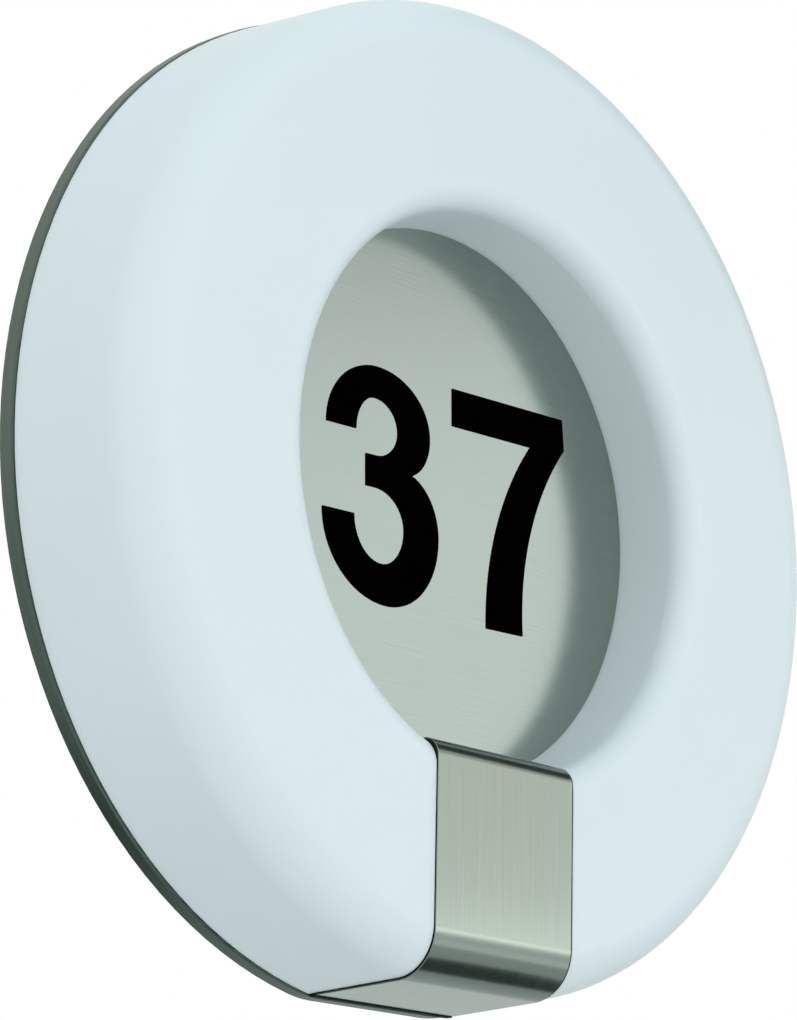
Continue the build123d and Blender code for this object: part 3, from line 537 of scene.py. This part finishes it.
@dataclass
class Strap:
    """The folded strap that closes the ring, its threaded weld studs and the black strip under its
    rear edge.

    Its outer line has a corner at each fold, as (out from the wall, up, fold radius), from the
    tab on the number plate's face to the rear edge. The foot of a stud is given as (along Y, up).
    """

    width: float = 56.3 * MM
    sheet: float = 1.5 * MM
    edge_round: float = 0.22 * MM
    fold_segments: int = 20
    corners: tuple[Place, ...] = (
        (26.0 * MM, -84.0 * MM, 0.0),
        (26.0 * MM, -75.0 * MM, 2.5 * MM),
        (51.3 * MM, -75.0 * MM, 5.5 * MM),
        (51.3 * MM, -139.79 * MM, 13.7 * MM),
        (7.5 * MM, -142.2 * MM, 0.0),
    )
    stud_radius: float = 1.5 * MM
    stud_facets: int = 24
    thread_pitch: float = 0.5 * MM
    thread_depth: float = 0.2 * MM
    merge_distance: float = 0.001 * MM
    tab_stud_x: float = 15.0 * MM
    tab_stud_foot: Pair = (-26.75 * MM, -80.4 * MM)
    tab_stud_length: float = 5.15 * MM
    ledge_stud_x: float = 23.75 * MM
    ledge_stud_foot: Pair = (-21.0 * MM, -140.7 * MM)
    ledge_stud_length: float = 7.14 * MM
    foot_depth: float = 2.4 * MM
    foot_thickness: float = 0.9 * MM
    foot_drop: float = 0.3 * MM
    foot_round: float = 0.15 * MM

    def build(self, shop: Workshop) -> None:
        """Build the sheet, its studs and its foot.

        Args:
            shop: The workshop that finishes the pieces.
        """
        self.fold(shop)
        self.weld_studs(shop)
        self.foot(shop)

    def fold(self, shop: Workshop) -> None:
        """Bend the strip along its corners and give it its thickness.

        Args:
            shop: The workshop that finishes the sheet.
        """
        mesh = bmesh.new()
        line = [mesh.verts.new((-self.width / 2, -out, up)) for out, up, _ in self.corners]
        for pair in zip(line, line[1:]):
            mesh.edges.new(pair)
        places = [corner.co.copy() for corner in line]
        for index in range(1, len(places) - 1):
            turn = (places[index] - places[index - 1]).angle(places[index + 1] - places[index])
            bmesh.ops.bevel(
                mesh,
                geom=[line[index]],
                offset=self.corners[index][2] * math.tan(turn / 2),
                offset_type="OFFSET",
                segments=self.fold_segments,
                profile=0.5,
                affect="VERTICES",
                material=-1,
            )
        swept = bmesh.ops.extrude_edge_only(mesh, edges=mesh.edges)["geom"]
        far = [part for part in swept if isinstance(part, bmesh.types.BMVert)]
        bmesh.ops.translate(mesh, verts=far, vec=(self.width, 0.0, 0.0))
        bmesh.ops.recalc_face_normals(mesh, faces=mesh.faces)
        # The sheet gets its thickness on its inner side, so its faces have to point outwards
        foremost = min(mesh.faces, key=lambda face: face.calc_center_median().y)
        if foremost.normal.y > 0:
            bmesh.ops.reverse_faces(mesh, faces=mesh.faces)
        # The strap's steel carries painted shade.
        made = shop.piece("strap_fold", mesh, STEEL_STRAP_SHADED, "cover", "strap")
        wall = made.modifiers.new("sheet", "SOLIDIFY")
        wall.thickness, wall.offset, wall.use_even_offset = self.sheet, -1.0, True
        shop.soften(made, self.edge_round)

    def weld_studs(self, shop: Workshop) -> None:
        """Thread the four studs that are welded behind the sheet.

        Args:
            shop: The workshop that finishes the studs.
        """
        mesh = bmesh.new()
        for side in (-1, 1):
            tab = Vector((side * self.tab_stud_x, *self.tab_stud_foot))
            self.threaded_rod(mesh, tab, TO_WALL, self.tab_stud_length)
            ledge = Vector((side * self.ledge_stud_x, *self.ledge_stud_foot))
            self.threaded_rod(mesh, ledge, UPWARDS, self.ledge_stud_length)
        bmesh.ops.remove_doubles(mesh, verts=mesh.verts, dist=self.merge_distance)
        bmesh.ops.recalc_face_normals(mesh, faces=mesh.faces)
        shop.piece("strap_studs", mesh, ZINC, "cover", "strap")

    def foot(self, shop: Workshop) -> None:
        """Lay a black strip along the sheet's rear edge, which fills the gap to the pan.

        Args:
            shop: The workshop that finishes the strip.
        """
        out, up, _ = self.corners[-1]
        mesh = bmesh.new()
        near = [
            mesh.verts.new((-self.width / 2, -out + along, up - self.foot_drop + rise))
            for along, rise in (
                (0.0, 0.0),
                (self.foot_depth, 0.0),
                (self.foot_depth, self.foot_thickness),
                (0.0, self.foot_thickness),
            )
        ]
        end = mesh.faces.new(near)
        swept = bmesh.ops.extrude_face_region(mesh, geom=[end])["geom"]
        far = [part for part in swept if isinstance(part, bmesh.types.BMVert)]
        bmesh.ops.translate(mesh, verts=far, vec=(self.width, 0.0, 0.0))
        bmesh.ops.recalc_face_normals(mesh, faces=mesh.faces)
        shop.soften(shop.piece("strap_foot", mesh, RUBBER, "cover"), self.foot_round)

    def threaded_rod(
        self, mesh: bmesh.types.BMesh, foot: Vector, along: Vector, length: float
    ) -> None:
        """Spin a rod with a ridge for each turn of its thread.

        Args:
            mesh: The bmesh that gets the rod.
            foot: The middle of its foot.
            along: The direction that it points in.
            length: Its length.
        """
        steps = 2 * int(length / self.thread_pitch)
        radii = (self.stud_radius - self.thread_depth, self.stud_radius)
        side = [(radii[step % 2], length * step / steps) for step in range(steps + 1)]
        away = along.orthogonal().normalized()
        line = [
            mesh.verts.new(foot + away * radius + along * height)
            for radius, height in ((0.0, 0.0), *side, (0.0, length))
        ]
        edges = [mesh.edges.new(pair) for pair in zip(line, line[1:])]
        bmesh.ops.spin(
            mesh,
            geom=line + edges,
            cent=foot,
            axis=along,
            angle=math.tau,
            steps=self.stud_facets,
            use_merge=True,
            use_duplicate=False,
        )


@dataclass
class FrontHalf:
    """What pulls off the front: ring, number plate, digits and strap."""

    strap: Strap = field(default_factory=Strap)

    def build(self, shop: Workshop) -> None:
        """Build the strap and dress the front half's other pieces.

        Args:
            shop: The workshop that finishes and dresses the pieces.
        """
        self.strap.build(shop)
        shop.dress(OPAL, "diffuser")
        shop.dress(STEEL_PLATE, "number_plate")
        shop.dress(FILM, "digit_3", "digit_7")
        shop.dress(RUBBER, "end_seals")
        shop.dress(ZINC, "cover_studs", "diffuser_screws", "strap_nuts")


def stage_piece(name: str, mesh: bmesh.types.BMesh) -> bpy.types.Object:
    """Turn a bmesh into an object that belongs to the studio.

    Args:
        name: The object's name.
        mesh: The bmesh, which is freed.

    Returns:
        The object.
    """
    data = bpy.data.meshes.new(name)
    mesh.to_mesh(data)
    mesh.free()
    piece = bpy.data.objects.new(name, data)
    bpy.context.scene.collection.objects.link(piece)
    return piece


@dataclass(frozen=True)
class SoftBox:
    """An area lamp that looks at the light. The steel shows it only if it is mirrored."""

    name: str
    place: Place
    size: Pair
    power: float
    colour: Colour
    mirrored: bool = False

    def hang(self) -> None:
        """Add the lamp to the scene."""
        lamp = bpy.data.lights.new(self.name, "AREA")
        lamp.shape = "RECTANGLE"
        lamp.size, lamp.size_y = self.size
        lamp.energy, lamp.color = self.power, self.colour
        holder = bpy.data.objects.new(self.name, lamp)
        holder.location = self.place
        holder.rotation_euler = (-Vector(self.place)).to_track_quat("-Z", "Y").to_euler()
        holder.visible_glossy = self.mirrored
        bpy.context.scene.collection.objects.link(holder)


@dataclass(frozen=True)
class Card:
    """A dark cloth card, out of the camera's sight, that the strap or the pan's rim mirrors."""

    name: str
    place: Place
    aim: Place
    size: Pair
    dark: Colour = (0.08, 0.10, 0.09)
    pale: Colour = (0.10, 0.12, 0.11)
    weave_scale: float = 900.0
    weave_detail: float = 1.0
    weave_span: Pair = (0.4, 0.6)

    def stand(self) -> None:
        """Add the card to the studio with its face towards its aim."""
        mesh = bmesh.new()
        bmesh.ops.create_grid(mesh, x_segments=1, y_segments=1, size=0.5)
        bmesh.ops.scale(mesh, verts=mesh.verts, vec=(*self.size, 1.0))
        facing = (Vector(self.aim) - Vector(self.place)).to_track_quat("Z", "Y")
        bmesh.ops.rotate(mesh, verts=mesh.verts, matrix=facing.to_matrix())
        bmesh.ops.translate(mesh, verts=mesh.verts, vec=self.place)
        card = stage_piece(self.name, mesh)
        card.visible_camera = False
        sheet = Sheet("flag_cloth")
        weave = sheet.noise((self.weave_scale,) * 3, self.weave_detail)
        cloth = sheet.ramp(weave, self.dark, self.pale, self.weave_span)
        sheet.join(cloth, sheet.shader.inputs["Base Color"])
        sheet.set(Roughness=1.0, Specular_IOR_Level=0.0)
        card.data.materials.append(sheet.material)


COOL = (0.96, 1.0, 1.0)
SKY = (0.76, 0.92, 1.0)
WARM = (1.0, 0.98, 0.95)
GREENISH = (0.9, 1.0, 0.75)


@dataclass
class Studio:
    """Floor, lamps, cards, world and camera."""

    floor_level: float = -0.62
    floor_size: float = 14.0
    floor_dark: Colour = (0.86, 0.86, 0.86)
    floor_pale: Colour = (0.9, 0.9, 0.9)
    floor_scale: float = 3.0
    floor_detail: float = 3.0
    floor_span: Pair = (0.4, 0.6)
    floor_roughness: float = 0.9
    world_colour: Colour = (0.85, 0.95, 0.995)
    world_strength: float = 0.68
    azimuth: float = -47.249
    elevation: float = -14.687
    roll: float = 1.157
    distance: float = 1.061048
    target: Place = (-0.022977, -0.030, -0.007725)
    focal_pixels: float = 3800.0
    frame_height: float = 1020.0
    sensor: float = 36.0
    lamps: tuple[SoftBox, ...] = (
        SoftBox("key", (-0.6, -1.2, -0.35), (1.2, 1.2), 5.95, WARM),
        SoftBox("side", (-1.4, 0.8, 0.1), (1.2, 1.2), 3.0, WARM),
        SoftBox("top", (-0.2, -0.55, 1.4), (1.0, 1.0), 5.0, SKY),
        SoftBox("sheen", (1.62, -1.45, 0.30), (1.2, 0.88), 2.26, COOL, mirrored=True),
        SoftBox("crease", (1.11, -1.0, -0.017), (0.6, 0.13), 0.32, COOL, mirrored=True),
        SoftBox("strip", (1.11, -1.05, -0.24), (0.6, 0.3), 0.31, COOL, mirrored=True),
        SoftBox("step", (0.67, -0.60, -0.37), (0.4, 0.17), 0.13, COOL, mirrored=True),
        SoftBox("low", (1.14, 1.0, -0.45), (0.8, 0.8), 0.48, GREENISH, mirrored=True),
    )
    cards: tuple[Card, ...] = (
        Card("low_card", (0.262, -0.086, -0.438), (0.0, -0.045, -0.135), (0.2, 0.205)),
        Card("high_card", (0.5, -0.12, 0.42), (0.0, -0.05, -0.08), (0.5, 0.5)),
        Card("rim_card", (-0.20, 0.30, -0.42), (-0.1, 0.0, -0.1), (0.34, 0.26)),
    )

    def build(self) -> None:
        """Set the view transform and make the floor, world, lamps, cards and camera."""
        bpy.context.scene.view_settings.view_transform = "Standard"
        self.make_floor()
        self.make_world()
        for lamp in self.lamps:
            lamp.hang()
        for card in self.cards:
            card.stand()
        self.make_camera()

    def make_floor(self) -> None:
        """Lay a wide pale floor well below the light."""
        mesh = bmesh.new()
        bmesh.ops.create_grid(mesh, x_segments=1, y_segments=1, size=self.floor_size / 2)
        bmesh.ops.translate(mesh, verts=mesh.verts, vec=(0.0, 0.0, self.floor_level))
        floor = stage_piece("floor", mesh)
        sheet = Sheet("floor_paint")
        grain = sheet.noise((self.floor_scale,) * 3, self.floor_detail)
        paint = sheet.ramp(grain, self.floor_dark, self.floor_pale, self.floor_span)
        sheet.join(paint, sheet.shader.inputs["Base Color"])
        sheet.set(Roughness=self.floor_roughness)
        floor.data.materials.append(sheet.material)

    def make_world(self) -> None:
        """Cool even light all round, with a white background for the eye, gloss and glass."""
        world = bpy.data.worlds.new("studio")
        bpy.context.scene.world = world
        world.use_nodes = True
        nodes, links = world.node_tree.nodes, world.node_tree.links
        light = nodes["Background"]
        light.inputs["Color"].default_value = (*self.world_colour, 1.0)
        light.inputs["Strength"].default_value = self.world_strength
        white = nodes.new("ShaderNodeBackground")
        white.inputs["Color"].default_value = (1.0, 1.0, 1.0, 1.0)
        path = nodes.new("ShaderNodeLightPath")
        seen = path.outputs["Is Camera Ray"]
        for kind in ("Is Glossy Ray", "Is Transmission Ray"):
            either = nodes.new("ShaderNodeMath")
            either.operation = "MAXIMUM"
            links.new(seen, either.inputs[0])
            links.new(path.outputs[kind], either.inputs[1])
            seen = either.outputs["Value"]
        mix = nodes.new("ShaderNodeMixShader")
        links.new(seen, mix.inputs["Fac"])
        links.new(light.outputs["Background"], mix.inputs[1])
        links.new(white.outputs["Background"], mix.inputs[2])
        links.new(mix.outputs["Shader"], nodes["World Output"].inputs["Surface"])

    def make_camera(self) -> None:
        """Stand the camera where the photograph was taken from."""
        turn, rise = math.radians(self.azimuth), math.radians(self.elevation)
        back = Vector(
            (
                math.sin(turn) * math.cos(rise),
                -math.cos(turn) * math.cos(rise),
                math.sin(rise),
            )
        )
        right = (-back).cross(UPWARDS).normalized()
        up = right.cross(-back)
        lean = Matrix.Rotation(math.radians(self.roll), 3, back)
        right, up = lean @ right, lean @ up
        data = bpy.data.cameras.new("camera")
        data.sensor_fit = "VERTICAL"
        data.sensor_height = self.sensor
        data.lens = self.focal_pixels * self.sensor / self.frame_height
        camera = bpy.data.objects.new("camera", data)
        pose = Matrix((right, up, back)).transposed().to_4x4()
        pose.translation = Vector(self.target) + back * self.distance
        camera.matrix_world = pose
        bpy.context.scene.collection.objects.link(camera)
        bpy.context.scene.camera = camera


def main() -> None:
    """Load the frame, build the studio and dress both halves."""
    logging.basicConfig(level=logging.INFO, format="%(message)s")
    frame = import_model()
    shop = Workshop(frame)
    Studio().build()
    BackHalf().build(shop)
    FrontHalf().build(shop)


if __name__ == "__main__":
    main()
